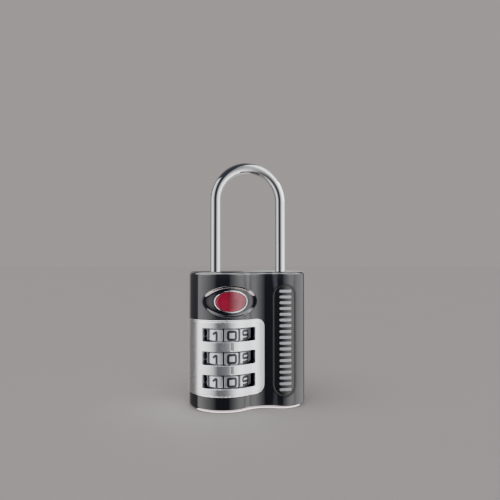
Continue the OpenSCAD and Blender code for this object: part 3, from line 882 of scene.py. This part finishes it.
# A box's brightness across its width: pairs of place, from 0 to 1, and share
SOFT_ENDS = ((0, 0.04), (0.2, 1), (0.8, 1), (1, 0.04))
EVEN = ((0, 1), (1, 1))
LEFT = ((0, 0.04), (0.03, 0.85), (0.25, 1), (0.5, 0.75), (0.75, 0.45), (1, 0.05))
RIGHT = ((0, 0.03), (0.02, 0.14), (0.16, 0.3), (0.38, 0.65), (0.6, 1), (0.85, 1), (1, 0.4))
ROD_RIGHT = ((0, 0.03), (0.03, 0.1), (0.2, 0.22), (0.42, 0.55), (0.7, 1), (1, 1))
SIDE = ((0, 0.3), (0.12, 1), (0.35, 1), (0.7, 0.6), (1, 0.1))
ROSY = (1, 0.86, 0.85)
AIM = Vector((0, DIAL_Y, 0.024))


def softbox(name, turn, elevation, distance, size, radiance, lit, stops=SOFT_ENDS, tint=(1, 1, 1),
            shape="RECTANGLE"):
    """A soft light beside the lock, which falls on the collection lit.

    turn is measured from the camera's side, positive to the right. stops gives the brightness across it.
    """
    a, e = CAMERA_TURN + math.radians(turn), math.radians(elevation)
    away = Vector((math.sin(a) * math.cos(e), -math.cos(a) * math.cos(e), math.sin(e)))
    light = bpy.data.lights.new(name, "AREA")
    light.shape = shape
    light.size, light.size_y = size
    light.color = tint
    light.energy = radiance * math.pi * size[0] * size[1]
    light.use_nodes = True
    tree = light.node_tree
    geometry, split = tree.nodes.new("ShaderNodeNewGeometry"), tree.nodes.new("ShaderNodeSeparateXYZ")
    ramp = tree.nodes.new("ShaderNodeValToRGB")
    elements = ramp.color_ramp.elements
    for _ in stops[2:]:
        elements.new(0.5)
    for element, (position, share) in zip(elements, stops):
        element.position = position
        element.color = (share, share, share, 1)
    tree.links.new(geometry.outputs["Parametric"], split.inputs[0])
    tree.links.new(split.outputs["X"], ramp.inputs["Fac"])
    tree.links.new(ramp.outputs["Color"], tree.nodes["Emission"].inputs["Color"])
    obj = bpy.data.objects.new(name, light)
    obj.location = AIM + away * distance
    obj.rotation_euler = (-away).to_track_quat("-Z", "Y").to_euler()
    obj.visible_camera = False
    bpy.context.collection.objects.link(obj)
    obj.light_linking.receiver_collection = lit


def add_lights(lock):
    """Soft boxes either side of a dark gap behind the camera, which gloss and chrome show as bands.

    Some fall on a few pieces only, for bands that the photograph shows there and nowhere else.
    """
    def named(name, *pieces):
        return group(name, [o for o in lock if o.name in pieces])

    every = group("lock", lock)
    body = group("body", [o for o in lock if o.name != "shackle_rod"])
    rod = named("rod", "shackle_rod")
    plate = named("plate", "dial_cover_plate")
    rims = named("rims", "housing", "dial_cover_plate", "badge_scoop")
    housing = named("housing_only", "housing")
    scoop = named("scoop", "badge_scoop")
    # Turn, elevation, distance, size and radiance, then what it falls on
    softbox("left_box", -57, 0, 0.062, (0.074, 0.14), 3.0, body, LEFT)
    softbox("right_box", 42.5, 0, 0.07, (0.074, 0.14), 3.3, body, RIGHT)
    softbox("rod_left_box", -57, 0, 0.062, (0.074, 0.19), 1.6, rod, LEFT)
    softbox("rod_right_box", 42.5, 0, 0.07, (0.074, 0.27), 1.7, rod, ROD_RIGHT)
    softbox("rod_top_box", 80, 48, 0.1, (0.1, 0.1), 1.6, rod)
    softbox("plate_box", 0, 0, 0.08, (0.05, 0.1), 0.16, plate)
    softbox("right_side_box", 101, 0, 0.07, (0.09, 0.14), 2.7, every, SIDE)
    softbox("top_box", 0, 80, 0.13, (0.09, 0.07), 1.0, body)
    softbox("back_box", 168, 2, 0.1, (0.05, 0.2), 0.8, every)
    softbox("back_left_box", 214, 2, 0.1, (0.05, 0.2), 0.3, every)
    softbox("rim_left_box", -78, 52, 0.1, (0.14, 0.1), 6.0, rims)
    softbox("rim_box", 0, 62, 0.1, (0.14, 0.06), 5.0, rims)
    softbox("rim_right_box", 78, 52, 0.1, (0.14, 0.1), 4.0, rims)
    # These two lie under the floor, which gloss doesn't see. They light the scoop and the body's low edge.
    softbox("scoop_box", 0, -58, 0.075, (0.14, 0.055), 18.0, scoop, tint=ROSY)
    softbox("under_box", 0, -90, 0.036, (0.052, 0.034), 11.0, housing, EVEN, ROSY, "ELLIPSE")


def add_camera():
    """The photograph's view: from the front and a little to the left, level with the lock's middle."""
    cam = bpy.data.cameras.new("camera")
    cam.sensor_width = 36
    cam.lens = 36.6
    cam.clip_start = 0.005
    obj = bpy.data.objects.new("camera", cam)
    obj.location = CAMERA_PLACE
    obj.rotation_euler = (CAMERA_TILT, 0, CAMERA_TURN)
    bpy.context.collection.objects.link(obj)
    bpy.context.scene.camera = obj


dress_cad()
add_cover()
add_badge()
add_side_panel()
add_shackle()
add_catch_spring()
for dial in DIALS:
    add_dial(dial)
    numerals(dial)
lock = [o for o in bpy.context.scene.objects if o.type == "MESH"]
add_world()
add_sun(add_floor())
add_lights(lock)
add_camera()
